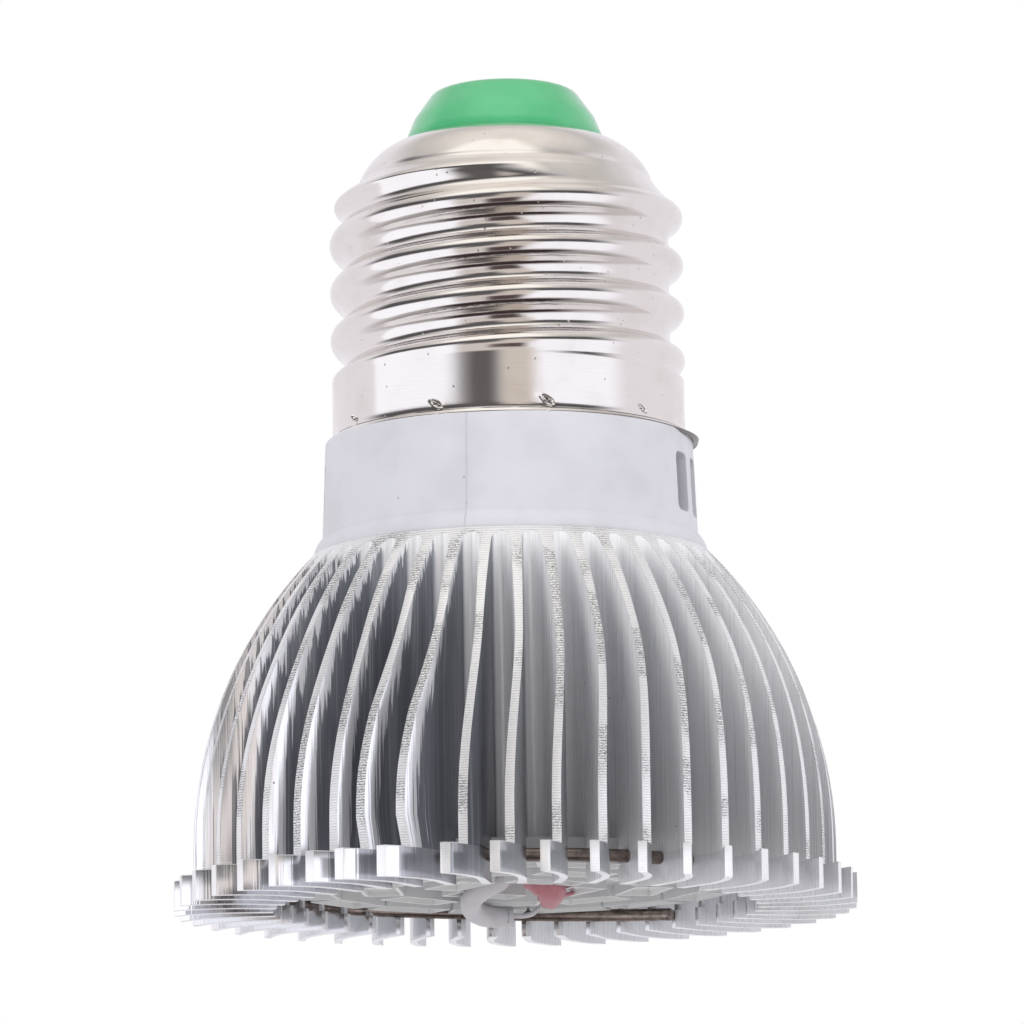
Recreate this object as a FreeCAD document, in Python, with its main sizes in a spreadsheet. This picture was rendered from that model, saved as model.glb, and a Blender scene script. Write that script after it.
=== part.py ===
import FreeCAD, Part
import math
import os

import Sketcher
from FreeCAD import Placement, Rotation, Vector

# Grow light bulb with a screw cap, standing on the rim of its heat sink with the cap up.
# The origin is the centre of the rim plane and +Z runs up through the cap.
# Azimuths are in degrees, anticlockwise seen from above, with 0 at -Y.

SIZES = {
    # turned body of the heat sink
    "sink_height": 26.2,
    "rim_radius": 25.1,
    "rim_height": 2.2,
    "dome_radius": 23.6,
    "dome_start": 4.5,
    "dome_curve": 31.15,
    "neck_radius": 14.8,
    "recess_depth": 3.3,
    "recess_radius": 17.8,
    "base_thickness": 5.0,
    "pocket_radius": 12.0,
    "lead_hole_radius": 2.6,
    # swept fins
    "fin_count": 45,
    "fin_thickness": 0.56,
    "fin_root_thickness": 0.82,
    "fin_straight_length": 5.05,
    "fin_curve": 6.5,
    "fin_sweep": 40,
    "fin_azimuth": 1.5,
    "core_wall": 3.15,
    "channel_root_rise": 0.65,
    # round wire that holds the light board
    "snap_wire_radius": 0.48,
    "snap_groove_depth": 0.33,
    "snap_gap_azimuth": 120,
    "snap_gap_angle": 15,
    # light board and its packages
    "board_thickness": 0.9,
    "led_length": 5.7,
    "led_width": 3.0,
    "led_height": 0.8,
    "led_frame": 0.42,
    "led_window_depth": 0.12,
    "led_gap": 0.05,
    "led_lane": 2.2,
    "led_edge_margin": 1.15,
    "led_ring_angle": 2.2,
    "led_ring_turn": 13.8,
    # moulded collar with its sleeve and neck
    "collar_height": 8.6,
    "collar_ledge": 0.55,
    "collar_draft": 0.33,
    "collar_flare": 0.62,
    "collar_flare_curve": 1.9,
    "collar_foot_height": 0.15,
    "collar_edge_height": 1.4,
    "collar_wall": 1.5,
    "sleeve_wall": 0.9,
    "sleeve_floor": 1.0,
    "sleeve_hole_radius": 2.4,
    "neck_wall": 1.0,
    "slot_width": 2.0,
    "slot_height": 4.4,
    "slot_rise": 2.5,
    "slot_corner": 0.5,
    "slot_azimuth": 67.1,
    "slot_pitch": 13.2,
    "slot_count": 3,
    "rib_width": 0.8,
    "rib_length": 2.2,
    "rib_height": 15.7,
    # screw cap
    "cap_wall": 0.3,
    "skirt_radius": 13.1,
    "skirt_height": 4.9,
    "lip_height": 1.1,
    "lip_flare": 0.3,
    "lip_lift": 0.75,
    "lip_lift_azimuth": 86,
    "lip_lift_spread": 24,
    "thread_crest_radius": 13.2,
    "thread_depth": 1.1,
    "thread_pitch": 3.629,
    "thread_start_azimuth": 244,
    "thread_height": 12.9,
    "thread_blend": 1.0,
    "cap_taper_height": 2.15,
    "cap_groove_radius": 10.9,
    "shoulder_curve": 5.0,
    "shoulder_angle": 23,
    "shoulder_edge_radius": 7.55,
    "dimple_count": 10,
    "dimple_azimuth": 12.5,
    "dimple_rise": 1.4,
    "dimple_radius": 0.9,
    "dimple_depth": 0.22,
    # moulded insulator and centre contact
    "insulator_rise": 6.85,
    "insulator_rim_width": 0.75,
    "insulator_edge_reach": 0.9,
    "insulator_edge_drop": 0.45,
    "insulator_edge_curve": 1.1,
    "insulator_break_reach": 1.2,
    "insulator_break_drop": 2.15,
    "insulator_skirt": 0.57,
    "insulator_wall": 1.7,
    "contact_radius": 3.9,
    "contact_sink": 1.0,
    "contact_edge_height": 0.5,
    "contact_drop": 0.1,
    "rivet_radius": 1.1,
    "rivet_tail": 0.6,
    # driver board, upright across the sleeve
    "driver_thickness": 1.2,
    "driver_offset": 1.35,
    "driver_edge_gap": 0.24,
    "driver_top_drop": 5.3,
    # its components: widths along X, depths off the board's face, rises above the board's foot,
    # and gaps to the component that a piece stands over or hangs under
    "transformer_width": 10.4,
    "transformer_depth": 6.0,
    "transformer_height": 8.6,
    "transformer_gap": 2.1,
    "coil_width": 7.2,
    "coil_depth": 7.0,
    "coil_height": 5.6,
    "output_can_radius": 4.0,
    "output_can_length": 8.0,
    "output_can_x": 4.7,
    "output_can_rise": 10.9,
    "input_can_radius": 3.9,
    "input_can_length": 8.5,
    "input_can_x": -3.2,
    "input_can_gap": 2.3,
    "drum_radius": 3.0,
    "drum_length": 6.0,
    "drum_x": 5.2,
    "drum_gap": 2.2,
    "film_width": 6.4,
    "film_depth": 4.4,
    "film_height": 8.0,
    "film_x": -5.5,
    "film_gap": 1.8,
    "rectifier_width": 4.7,
    "rectifier_depth": 2.4,
    "rectifier_height": 3.9,
    "rectifier_rise": 30.0,
    "chip_width": 4.9,
    "chip_depth": 1.5,
    "chip_height": 3.9,
    "chip_rise": 17.0,
    "resistor_radius": 1.2,
    "resistor_length": 6.5,
    "resistor_gap": 0.4,
    "resistor_rise": 25.5,
    "resistor_leg_radius": 0.3,
    "resistor_leg_reach": 1.6,
    "resistor_leg_bend": 0.6,
    # leads from the driver board to the light board
    "lead_radius": 0.75,
    "lead_spacing": 1.7,
    "lead_strip_rise": 6.5,
    "lead_bend": 0.9,
    "strand_radius": 0.32,
    "strand_length": 1.0,
    "strand_bend": 0.4,
    "white_pad_angle": 79,
    "red_pad_angle": 44.6,
    "white_route_reach": 12.65,
    "solder_radius": 1.1,
    "solder_latitude": -35,
    # wires from the driver board to the cap
    "wire_radius": 0.5,
    "wire_bend": 0.9,
    "wire_foot_drop": 2.5,
    "wire_wall_gap": 2.6,
    "contact_wire_x": 2.0,
    "contact_wire_bend": 1.6,
    "contact_wire_rise": 2.6,
    "contact_wire_slant": 3.2,
    # clearances
    "fit": 0.05,
    "sleeve_clearance": 0.1,
}

doc = FreeCAD.newDocument("grow_light_bulb")
sheet = doc.addObject("Spreadsheet::Sheet", "Sizes")
for row, (alias, value) in enumerate(SIZES.items(), start=1):
    sheet.set(f"A{row}", alias)
    sheet.set(f"B{row}", str(value))
    sheet.setAlias(f"B{row}", alias)
doc.recompute()


class Size:
    """A number that also carries the sheet expression it is worked out from."""

    def __init__(self, value, text):
        self.value = float(value)
        self.text = text

    def __float__(self):
        return self.value

    def __add__(self, other):
        other = as_size(other)
        return Size(self.value + other.value, f"({self.text} + {other.text})")

    def __sub__(self, other):
        other = as_size(other)
        return Size(self.value - other.value, f"({self.text} - {other.text})")

    def __mul__(self, other):
        other = as_size(other)
        return Size(self.value * other.value, f"({self.text} * {other.text})")

    def __truediv__(self, other):
        other = as_size(other)
        return Size(self.value / other.value, f"({self.text} / {other.text})")

    def __radd__(self, other):
        return as_size(other) + self

    def __rsub__(self, other):
        return as_size(other) - self

    def __rmul__(self, other):
        return as_size(other) * self

    def __rtruediv__(self, other):
        return as_size(other) / self

    def __neg__(self):
        return self * -1


class Dimensions:
    """The sheet's cells as attributes."""

    def __getattr__(self, alias):
        return Size(sheet.get(alias), f"Sizes.{alias}")


def as_size(number):
    return number if isinstance(number, Size) else Size(number, f"({float(number):.9g})")


def cosine(angle):
    angle = as_size(angle)
    return Size(math.cos(math.radians(angle.value)), f"cos({angle.text})")


def sine(angle):
    angle = as_size(angle)
    return Size(math.sin(math.radians(angle.value)), f"sin({angle.text})")


def square_root(number):
    return Size(math.sqrt(number.value), f"sqrt({number.text})")


def smaller(first, second):
    return Size(min(first.value, second.value), f"min({first.text}; {second.text})")


D = Dimensions()

# levels from the rim plane up
ceiling_level = D.recess_depth
board_level = ceiling_level - D.board_thickness
led_face_level = board_level - D.led_height
snap_level = board_level - D.snap_wire_radius - D.fit
pocket_level = ceiling_level + D.base_thickness
sleeve_floor_level = pocket_level + D.sleeve_floor
collar_level = D.sink_height
skirt_level = collar_level + D.collar_height
thread_level = skirt_level + D.skirt_height
taper_level = thread_level + D.thread_height
groove_level = taper_level + D.cap_taper_height
top_level = groove_level + D.insulator_rise

# radii shared by pieces that fit together
board_radius = D.recess_radius - D.fit
snap_radius = D.recess_radius + D.snap_groove_depth - D.snap_wire_radius - D.fit
sleeve_radius = D.pocket_radius - D.sleeve_clearance
sleeve_bore = sleeve_radius - D.sleeve_wall
core_radius = D.pocket_radius + D.core_wall
thread_step = D.thread_pitch / 2
thread_curve = (thread_step * thread_step + D.thread_depth * D.thread_depth) / (4 * D.thread_depth)
thread_root_radius = D.thread_crest_radius - D.thread_depth
neck_outer_radius = thread_root_radius - D.cap_wall - D.fit
neck_bore = neck_outer_radius - D.neck_wall
skirt_seat_radius = D.skirt_radius - D.cap_wall - D.fit
collar_top_radius = D.skirt_radius + D.collar_ledge
collar_edge_radius = collar_top_radius + D.collar_draft
collar_foot_radius = collar_edge_radius + D.collar_flare
collar_bore = collar_top_radius - D.collar_wall

# rounded shoulder of the cap, with the insulator's rim that fits under it
shoulder_centre_radius = D.cap_groove_radius - D.shoulder_curve * cosine(D.shoulder_angle)
shoulder_centre_level = groove_level - D.shoulder_curve * sine(D.shoulder_angle)
insulator_curve = D.shoulder_curve - D.cap_wall - D.fit
insulator_low_radius = shoulder_centre_radius + insulator_curve * cosine(D.shoulder_angle)
insulator_low_level = shoulder_centre_level + insulator_curve * sine(D.shoulder_angle)
plug_level = insulator_low_level - D.insulator_skirt
contact_seat_level = top_level - D.contact_sink
rivet_tail_level = plug_level - D.rivet_tail

# driver board
neck_top_level = taper_level - D.cap_wall
driver_front = -D.driver_offset
driver_back = driver_front - D.driver_thickness
driver_reach = smaller(neck_bore, sleeve_bore) - D.driver_edge_gap
driver_half_width = square_root(driver_reach * driver_reach - driver_back * driver_back)
driver_top_level = neck_top_level - D.driver_top_drop

pieces = []


def keep(piece, label):
    piece.Label = label
    pieces.append(piece)
    return piece


def bind(item, **expressions):
    for path, size in expressions.items():
        item.setExpression(path.replace("__", "."), as_size(size).text)


def place(item, x, y, z, axis=Vector(0, 0, 1), angle=0.0):
    item.Placement = Placement(Vector(float(x), float(y), float(z)), Rotation(axis, float(angle)))
    bind(item, Placement__Base__x=x, Placement__Base__y=y, Placement__Base__z=z)
    if isinstance(angle, Size):
        bind(item, Placement__Rotation__Angle=angle)


def polar(radius, angle):
    return radius * cosine(angle), radius * sine(angle)


def turned(point, angle):
    x, y = point
    return x * cosine(angle) - y * sine(angle), x * sine(angle) + y * cosine(angle)


def origin_plane(body, role):
    return next(feature for feature in body.Origin.OriginFeatures if feature.Role == role)


def new_sketch(body, name, role, lift=0.0, turn=0.0, turn_axis=Vector(0, 0, 1)):
    sketch = body.newObject("Sketcher::SketchObject", name)
    sketch.AttachmentSupport = [(origin_plane(body, role), "")]
    sketch.MapMode = "FlatFace"
    sketch.AttachmentOffset = Placement(Vector(0, 0, float(lift)), Rotation(turn_axis, float(turn)))
    bind(sketch, AttachmentOffset__Base__z=lift)
    if isinstance(turn, Size):
        bind(sketch, AttachmentOffset__Rotation__Angle=turn)
    return sketch


def pin_point(sketch, edge, end, x, y):
    for kind, size in (("DistanceX", x), ("DistanceY", y)):
        size = as_size(size)
        index = sketch.addConstraint(Sketcher.Constraint(kind, -1, 1, edge, end, size.value))
        sketch.setExpression(f"Constraints[{index}]", size.text)


def arc_between(start, end, radius, side):
    """Minor arc, always anticlockwise, that bulges to the left (1) or right (-1) of start to end."""
    middle = (start + end) * 0.5
    half = (end - start) * 0.5
    left = Vector(-half.y, half.x, 0).normalize()
    rise = radius - math.sqrt(max(radius * radius - half.Length * half.Length, 0.0))
    peak = middle + left * (side * rise)
    return Part.Arc(end, peak, start) if side > 0 else Part.Arc(start, peak, end)


def closed_outline(sketch, corners, arcs=None):
    """Outline through the corners. arcs maps an edge's number to its radius and bulging side."""
    arcs = arcs or {}
    points = [Vector(float(x), float(y), 0) for x, y in corners]
    first = sketch.GeometryCount
    ends = []
    for index, start in enumerate(points):
        end = points[(index + 1) % len(points)]
        if index in arcs:
            radius, side = arcs[index]
            sketch.addGeometry(arc_between(start, end, float(radius), side))
            ends.append((2, 1) if side > 0 else (1, 2))
        else:
            sketch.addGeometry(Part.LineSegment(start, end))
            ends.append((1, 2))
    for index, (x, y) in enumerate(corners):
        before = (index - 1) % len(corners)
        sketch.addConstraint(Sketcher.Constraint(
            "Coincident", first + before, ends[before][1], first + index, ends[index][0]))
        pin_point(sketch, first + index, ends[index][0], x, y)
    for index, (radius, side) in arcs.items():
        number = sketch.addConstraint(Sketcher.Constraint("Radius", first + index, float(radius)))
        sketch.setExpression(f"Constraints[{number}]", as_size(radius).text)


def turned_body(name, corners, arcs=None):
    """Body turned about +Z from its half outline in (radius, level)."""
    body = doc.addObject("PartDesign::Body", name)
    sketch = new_sketch(body, f"{name}_half_outline", "XZ_Plane")
    closed_outline(sketch, corners, arcs)
    turning = body.newObject("PartDesign::Revolution", f"{name}_turning")
    turning.Profile = sketch
    turning.ReferenceAxis = (sketch, ["V_Axis"])
    turning.Angle = 360
    body.Tip = turning
    return body


def box(name, length, width, height, x, y, z):
    item = doc.addObject("Part::Box", name)
    bind(item, Length=length, Width=width, Height=height)
    place(item, x, y, z)
    return item


def cylinder(name, radius, height, x, y, z, axis=Vector(0, 0, 1), angle=0.0):
    item = doc.addObject("Part::Cylinder", name)
    bind(item, Radius=radius, Height=height)
    place(item, x, y, z, axis, angle)
    return item


def boolean(kind, name, base, tool):
    item = doc.addObject(kind, name)
    item.Base = base
    item.Tool = tool
    return item


def shaped(name, shape):
    item = doc.addObject("Part::Feature", name)
    item.Shape = shape
    return item


def rounded_path(points, radii):
    """Straight runs through the points, joined by tangent arcs. A radius of 0 goes straight on."""
    points = [Vector(*map(float, point)) for point in points]
    edges = []
    here = points[0]
    for corner, following, radius in zip(points[1:-1], points[2:], map(float, radii)):
        if radius == 0:
            edges.append(Part.LineSegment(here, corner).toShape())
            here = corner
            continue
        inward = (corner - here).normalize()
        outward = (following - corner).normalize()
        turn = inward.getAngle(outward)
        reach = radius * math.tan(turn / 2)
        start = corner - inward * reach
        end = corner + outward * reach
        centre_way = (outward - inward).normalize()
        middle = corner + centre_way * (radius / math.cos(turn / 2) - radius)
        edges.append(Part.LineSegment(here, start).toShape())
        edges.append(Part.Arc(start, middle, end).toShape())
        here = end
    edges.append(Part.LineSegment(here, points[-1]).toShape())
    return Part.Wire(edges)


def tube(path, radius):
    start = path.Edges[0].valueAt(path.Edges[0].FirstParameter)
    way = path.Edges[0].tangentAt(path.Edges[0].FirstParameter)
    ring = Part.Wire(Part.makeCircle(float(radius), start, way))
    solid = path.makePipeShell([ring], True, False)
    expected = math.pi * float(radius) ** 2 * path.Length
    print(f"tube of {solid.Volume:.3f} mm3, section by length {expected:.3f} mm3")
    return solid


def heat_sink():
    groove_radius = D.recess_radius + D.snap_groove_depth
    groove_bottom = snap_level - D.snap_wire_radius - D.fit
    groove_top = snap_level + D.snap_wire_radius + D.fit
    body = turned_body("heat_sink_body", [
        (D.lead_hole_radius, ceiling_level),
        (D.recess_radius, ceiling_level),
        (D.recess_radius, groove_top),
        (groove_radius, groove_top),
        (groove_radius, groove_bottom),
        (D.recess_radius, groove_bottom),
        (D.recess_radius, 0),
        (D.rim_radius, 0),
        (D.rim_radius, D.rim_height),
        (D.dome_radius, D.rim_height),
        (D.dome_radius, D.dome_start),
        (D.neck_radius, D.sink_height),
        (D.pocket_radius, D.sink_height),
        (D.pocket_radius, pocket_level),
        (D.lead_hole_radius, pocket_level),
    ], {10: (D.dome_curve, -1)})

    # one channel between two fins, drawn with the first fin's straight part along +X
    pitch = 360 / D.fin_count
    half = D.fin_thickness / 2
    root_half = D.fin_root_thickness / 2
    root_radius = core_radius + D.channel_root_rise
    bend_start = core_radius + D.fin_straight_length
    run_out = D.rim_radius / 2

    def flank(offset):
        """Start, end and run-out of a flank's curved part, offset from the fin's middle."""
        curve = D.fin_curve + offset
        bend_end = (bend_start + curve * sine(D.fin_sweep),
                    curve * cosine(D.fin_sweep) - D.fin_curve)
        beyond = (bend_end[0] + run_out * cosine(D.fin_sweep),
                  bend_end[1] - run_out * sine(D.fin_sweep))
        return (bend_start, offset), bend_end, beyond

    near = flank(half)
    far = [turned(point, pitch) for point in flank(-half)]
    near_root = (root_radius, root_half)
    far_root = turned((root_radius, -root_half), pitch)
    half_chord = root_radius * sine(pitch / 2) - root_half * cosine(pitch / 2)
    chord_radius = root_radius * cosine(pitch / 2) + root_half * sine(pitch / 2)
    sagitta = chord_radius - core_radius
    root_curve = (half_chord * half_chord + sagitta * sagitta) / (2 * sagitta)
    outline = [near_root, near[0], near[1], near[2], far[2], far[1], far[0], far_root]

    sketch = new_sketch(body, "channel_outline", "XY_Plane", turn=D.fin_azimuth - 90)
    closed_outline(sketch, outline, {
        1: (D.fin_curve + half, 1),
        5: (D.fin_curve - half, -1),
        7: (root_curve, -1),
    })
    channel = body.newObject("PartDesign::Pocket", "channel")
    channel.Profile = sketch
    channel.SideType = "Symmetric"
    channel.Type = "Length"
    bind(channel, Length=3 * D.sink_height)
    ring = body.newObject("PartDesign::PolarPattern", "channel_ring")
    ring.Originals = [channel]
    ring.Axis = (sketch, ["N_Axis"])
    ring.Angle = 360
    bind(ring, Occurrences=D.fin_count)
    body.Tip = ring
    keep(body, "heat_sink")


def light_board():
    board = cylinder("board_disc", board_radius, D.board_thickness, 0, 0, board_level)
    hole = cylinder("board_hole", D.lead_hole_radius, 3 * D.board_thickness,
                    0, 0, board_level - D.board_thickness)
    keep(boolean("Part::Cut", "light_board", board, hole), "led_board")


def ring_radii():
    """Radii of the rings of light packages, from the board's edge in to the lead hole."""
    radii = [board_radius - D.led_edge_margin - D.led_width / 2]
    inner_limit = float(D.lead_hole_radius + D.led_width / 2 + D.fit)
    while float(radii[-1] - D.led_width - D.led_lane) > inner_limit:
        radii.append(radii[-1] - D.led_width - D.led_lane)
    return radii


def light_packages():
    """Rings of packages laid end to end, each ring with as many as fit."""
    number = 0
    for ring, radius in enumerate(ring_radii()):
        half_length = float(D.led_length + D.led_gap) / 2
        half_angle = math.degrees(math.atan(half_length / float(radius - D.led_width / 2)))
        count = int(180 / half_angle)
        for step in range(count):
            number += 1
            angle = D.led_ring_angle + ring * D.led_ring_turn + step * 360 / count
            name = f"led_{number:02d}"
            package = box(f"{name}_package", D.led_length, D.led_width, D.led_height,
                          -D.led_length / 2, -D.led_width / 2, -D.led_height)
            window = box(f"{name}_window", D.led_length - 2 * D.led_frame, D.led_width - 2 * D.led_frame,
                         2 * D.led_window_depth, D.led_frame - D.led_length / 2,
                         D.led_frame - D.led_width / 2, -D.led_height - D.led_window_depth)
            package_cut = boolean("Part::Cut", f"{name}_body", package, window)
            x, y = polar(radius, angle)
            place(package_cut, x, y, board_level, angle=angle + 90)
            keep(package_cut, name)


def snap_ring():
    ring = doc.addObject("Part::Torus", "snap_wire")
    bind(ring, Radius1=snap_radius, Radius2=D.snap_wire_radius, Angle3=360 - D.snap_gap_angle)
    place(ring, 0, 0, snap_level, angle=D.snap_gap_azimuth - 90 + D.snap_gap_angle)
    keep(ring, "snap_ring")


def collar_housing():
    flare_top = collar_level + D.collar_edge_height
    foot_top = collar_level + D.collar_foot_height
    collar_floor = collar_level + D.collar_wall / 2
    chamber_top = skirt_level - D.collar_wall
    body = turned_body("collar_housing_body", [
        (D.sleeve_hole_radius, pocket_level),
        (sleeve_radius, pocket_level),
        (sleeve_radius, collar_level),
        (collar_foot_radius, collar_level),
        (collar_foot_radius, foot_top),
        (collar_edge_radius, flare_top),
        (collar_edge_radius - D.fit, flare_top),
        (collar_top_radius, skirt_level),
        (skirt_seat_radius, skirt_level),
        (skirt_seat_radius, thread_level - D.collar_wall),
        (neck_outer_radius, thread_level),
        (neck_outer_radius, neck_top_level),
        (neck_bore, neck_top_level),
        (neck_bore, skirt_level),
        (collar_bore, chamber_top),
        (collar_bore, collar_floor),
        (sleeve_bore, collar_floor),
        (sleeve_bore, sleeve_floor_level),
        (D.sleeve_hole_radius, sleeve_floor_level),
    ], {4: (D.collar_flare_curve, -1)})

    ribs = new_sketch(body, "guide_ribs_outline", "XY_Plane", lift=sleeve_floor_level)
    rib_end = sleeve_bore + D.fit
    rib_start = rib_end - D.rib_length
    for side in (-1, 1):
        for y in (driver_front + D.fit, driver_back - D.fit - D.rib_width):
            closed_outline(ribs, [
                (side * rib_start, y),
                (side * rib_end, y),
                (side * rib_end, y + D.rib_width),
                (side * rib_start, y + D.rib_width),
            ])
    rib_pad = body.newObject("PartDesign::Pad", "guide_ribs")
    rib_pad.Profile = ribs
    bind(rib_pad, Length=D.rib_height)

    slot_bottom = collar_level + D.slot_rise
    half = D.slot_width / 2
    corner = D.slot_corner
    right = half - corner
    top = slot_bottom + D.slot_height
    slot_sketch = new_sketch(body, "slot_outline", "XZ_Plane",
                             turn=D.slot_azimuth, turn_axis=Vector(0, 1, 0))
    closed_outline(slot_sketch, [
        (-right, slot_bottom),
        (right, slot_bottom),
        (half, slot_bottom + corner),
        (half, top - corner),
        (right, top),
        (-right, top),
        (-half, top - corner),
        (-half, slot_bottom + corner),
    ], {1: (corner, -1), 3: (corner, -1), 5: (corner, -1), 7: (corner, -1)})
    slot = body.newObject("PartDesign::Pocket", "slot")
    slot.Profile = slot_sketch
    slot.SideType = "Symmetric"
    slot.Type = "Length"
    bind(slot, Length=4 * collar_foot_radius)
    slots = body.newObject("PartDesign::PolarPattern", "slots")
    slots.Originals = [slot]
    slots.Axis = (slot_sketch, ["V_Axis"])
    bind(slots, Angle=D.slot_pitch * (D.slot_count - 1), Occurrences=D.slot_count)
    body.Tip = slots
    keep(body, "collar_housing")


def smooth_step(position, start, end):
    share = min(max((position - start) / (end - start), 0.0), 1.0)
    return share * share * (3 - 2 * share)


def thread_radius(azimuth, level):
    """Outside radius of the rolled thread: tangent arcs of one radius, wound right-handed."""
    pitch = float(D.thread_pitch)
    arc = float(thread_curve)
    start = float(thread_level) + pitch * (azimuth - float(D.thread_start_azimuth)) / 360
    offset = (level - start - pitch / 4) % pitch - pitch / 2
    if abs(offset) <= pitch / 4:
        return float(D.thread_crest_radius) - arc + math.sqrt(arc * arc - offset * offset)
    from_root = pitch / 2 - abs(offset)
    return float(thread_root_radius) + arc - math.sqrt(arc * arc - from_root * from_root)


def shell_radius(azimuth, level):
    """Outside radius of the cap's metal shell below its rounded shoulder."""
    skirt = float(skirt_level)
    lip = max(skirt + float(D.lip_height) - level, 0.0) / float(D.lip_height)
    away = (azimuth - float(D.lip_lift_azimuth) + 180) % 360 - 180
    flare = float(D.lip_flare) + float(D.lip_lift) * math.exp(-(away / float(D.lip_lift_spread)) ** 2)
    plain = float(D.skirt_radius) + flare * lip * lip
    blend_start = thread_level - D.thread_blend / 2
    rolled = smooth_step(level, float(blend_start), float(blend_start + D.thread_blend))
    radius = plain * (1 - rolled) + thread_radius(azimuth, level) * rolled
    taper = smooth_step(level, float(taper_level), float(groove_level))
    return radius * (1 - taper) + float(D.cap_groove_radius) * taper


def shell_profile(azimuth, place_along, straight_steps, curve_steps):
    """Radius and level of the shell's outside, place_along being a step number from the lip up."""
    low = float(skirt_level + D.fit)
    high = float(groove_level)
    if place_along <= straight_steps:
        level = low + (high - low) * place_along / straight_steps
        return shell_radius(azimuth, level), level
    curve = float(D.shoulder_curve)
    first = float(D.shoulder_angle)
    last = math.degrees(math.acos((float(D.shoulder_edge_radius) - float(shoulder_centre_radius)) / curve))
    angle = math.radians(first + (last - first) * (place_along - straight_steps) / curve_steps)
    return (float(shoulder_centre_radius) + curve * math.cos(angle),
            float(shoulder_centre_level) + curve * math.sin(angle))


def shell_skin(inset, columns=96, sectors=32, straight_steps=92, curve_steps=20):
    """Spline surface through the shell's profile all round, inset by part of its wall, in sectors."""
    steps = straight_steps + curve_steps

    def point(column, along):
        azimuth = 360 * column / columns
        angle = math.radians(azimuth - 90)
        here = min(max(along, 0.0), float(steps))
        low, high = max(here - 0.1, 0.0), min(here + 0.1, float(steps))
        below = shell_profile(azimuth, low, straight_steps, curve_steps)
        above = shell_profile(azimuth, high, straight_steps, curve_steps)
        radius, level = shell_profile(azimuth, here, straight_steps, curve_steps)
        rise, run = above[1] - below[1], above[0] - below[0]
        length = math.hypot(rise, run)
        radius -= inset * rise / length
        level = max(level + inset * run / length, float(skirt_level + D.fit))
        return Vector(radius * math.cos(angle), radius * math.sin(angle), level)

    def pole(column, along):
        centre = point(column, along)
        around = point(column - 1, along) + point(column + 1, along) - centre * 2
        if 1 <= along <= steps - 1:
            around += point(column, along - 1) + point(column, along + 1) - centre * 2
        return centre - around / 6

    places = [0, 1 / 3] + list(range(1, steps)) + [steps - 1 / 3, steps]
    poles = [[pole(column, along) for along in places] for column in range(columns)]
    surface = Part.BSplineSurface()
    surface.buildFromPolesMultsKnots(
        poles,
        [1] * (columns + 1),
        [4] + [1] * (steps - 1) + [4],
        [float(knot) for knot in range(columns + 1)],
        [float(knot) for knot in range(steps + 1)],
        True, False, 3, 3)
    span = columns / sectors
    faces = []
    for sector in range(sectors):
        part = surface.copy()
        part.segment(sector * span, (sector + 1) * span, 0, steps)
        faces.append(part)
    return faces


def cap_shell():
    outside = shell_skin(0.0)
    inside = shell_skin(float(D.cap_wall))
    faces = []
    for outer, inner in zip(outside, inside):
        faces += [outer.toShape(), inner.toShape()]
        for last in (False, True):
            rims = [skin.vIso(skin.bounds()[3 if last else 2]).toShape() for skin in (outer, inner)]
            faces.append(Part.makeRuledSurface(*rims))
    shell = Part.makeShell(faces)
    shell.sewShape()
    solid = Part.makeSolid(Part.Shell(shell.Faces))
    if solid.Volume < 0:
        solid.reverse()
    reach = float(D.skirt_radius + D.dimple_radius - D.dimple_depth)
    level = float(skirt_level + D.dimple_rise)
    count = int(float(D.dimple_count))
    dimples = []
    for step in range(count):
        angle = math.radians(float(D.dimple_azimuth) + 360 * step / count - 90)
        centre = Vector(reach * math.cos(angle), reach * math.sin(angle), level)
        dimples.append(Part.makeSphere(float(D.dimple_radius), centre))
    keep(shaped("cap_shell_rolled", solid.cut(Part.makeCompound(dimples))), "cap_shell")


def cap_insulator():
    shoulder_edge = D.shoulder_edge_radius - shoulder_centre_radius
    throat_radius = D.shoulder_edge_radius - D.cap_wall * shoulder_edge / D.shoulder_curve - D.fit
    throat_reach = throat_radius - shoulder_centre_radius
    throat_level = shoulder_centre_level + square_root(
        insulator_curve * insulator_curve - throat_reach * throat_reach)
    cavity_radius = insulator_low_radius - D.insulator_wall
    cavity_top = plug_level + D.insulator_wall
    post_radius = D.rivet_radius + D.insulator_wall
    bore = D.rivet_radius + D.fit
    seat_radius = D.contact_radius + D.fit
    top_radius = seat_radius + D.insulator_rim_width
    edge_radius = top_radius + D.insulator_edge_reach
    break_radius = edge_radius + D.insulator_break_reach
    body = turned_body("cap_insulator_body", [
        (bore, plug_level),
        (post_radius, plug_level),
        (post_radius, cavity_top),
        (cavity_radius, cavity_top),
        (cavity_radius, plug_level),
        (insulator_low_radius, plug_level),
        (insulator_low_radius, insulator_low_level),
        (throat_radius, throat_level),
        (throat_radius, throat_level + 2 * D.cap_wall),
        (break_radius, top_level - D.insulator_break_drop),
        (edge_radius, top_level - D.insulator_edge_drop),
        (top_radius, top_level),
        (seat_radius, top_level),
        (seat_radius, contact_seat_level),
        (bore, contact_seat_level),
    ], {6: (insulator_curve, -1), 10: (D.insulator_edge_curve, -1)})
    keep(body, "cap_insulator")


def centre_contact():
    edge_level = contact_seat_level + D.contact_edge_height
    peak = top_level - D.contact_drop
    rise = peak - edge_level
    body = turned_body("centre_contact_body", [
        (0, rivet_tail_level),
        (D.rivet_radius, rivet_tail_level),
        (D.rivet_radius, contact_seat_level),
        (D.contact_radius, contact_seat_level),
        (D.contact_radius, edge_level),
        (0, peak),
    ], {4: ((D.contact_radius * D.contact_radius + rise * rise) / (2 * rise), -1)})
    keep(body, "centre_contact")


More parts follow.
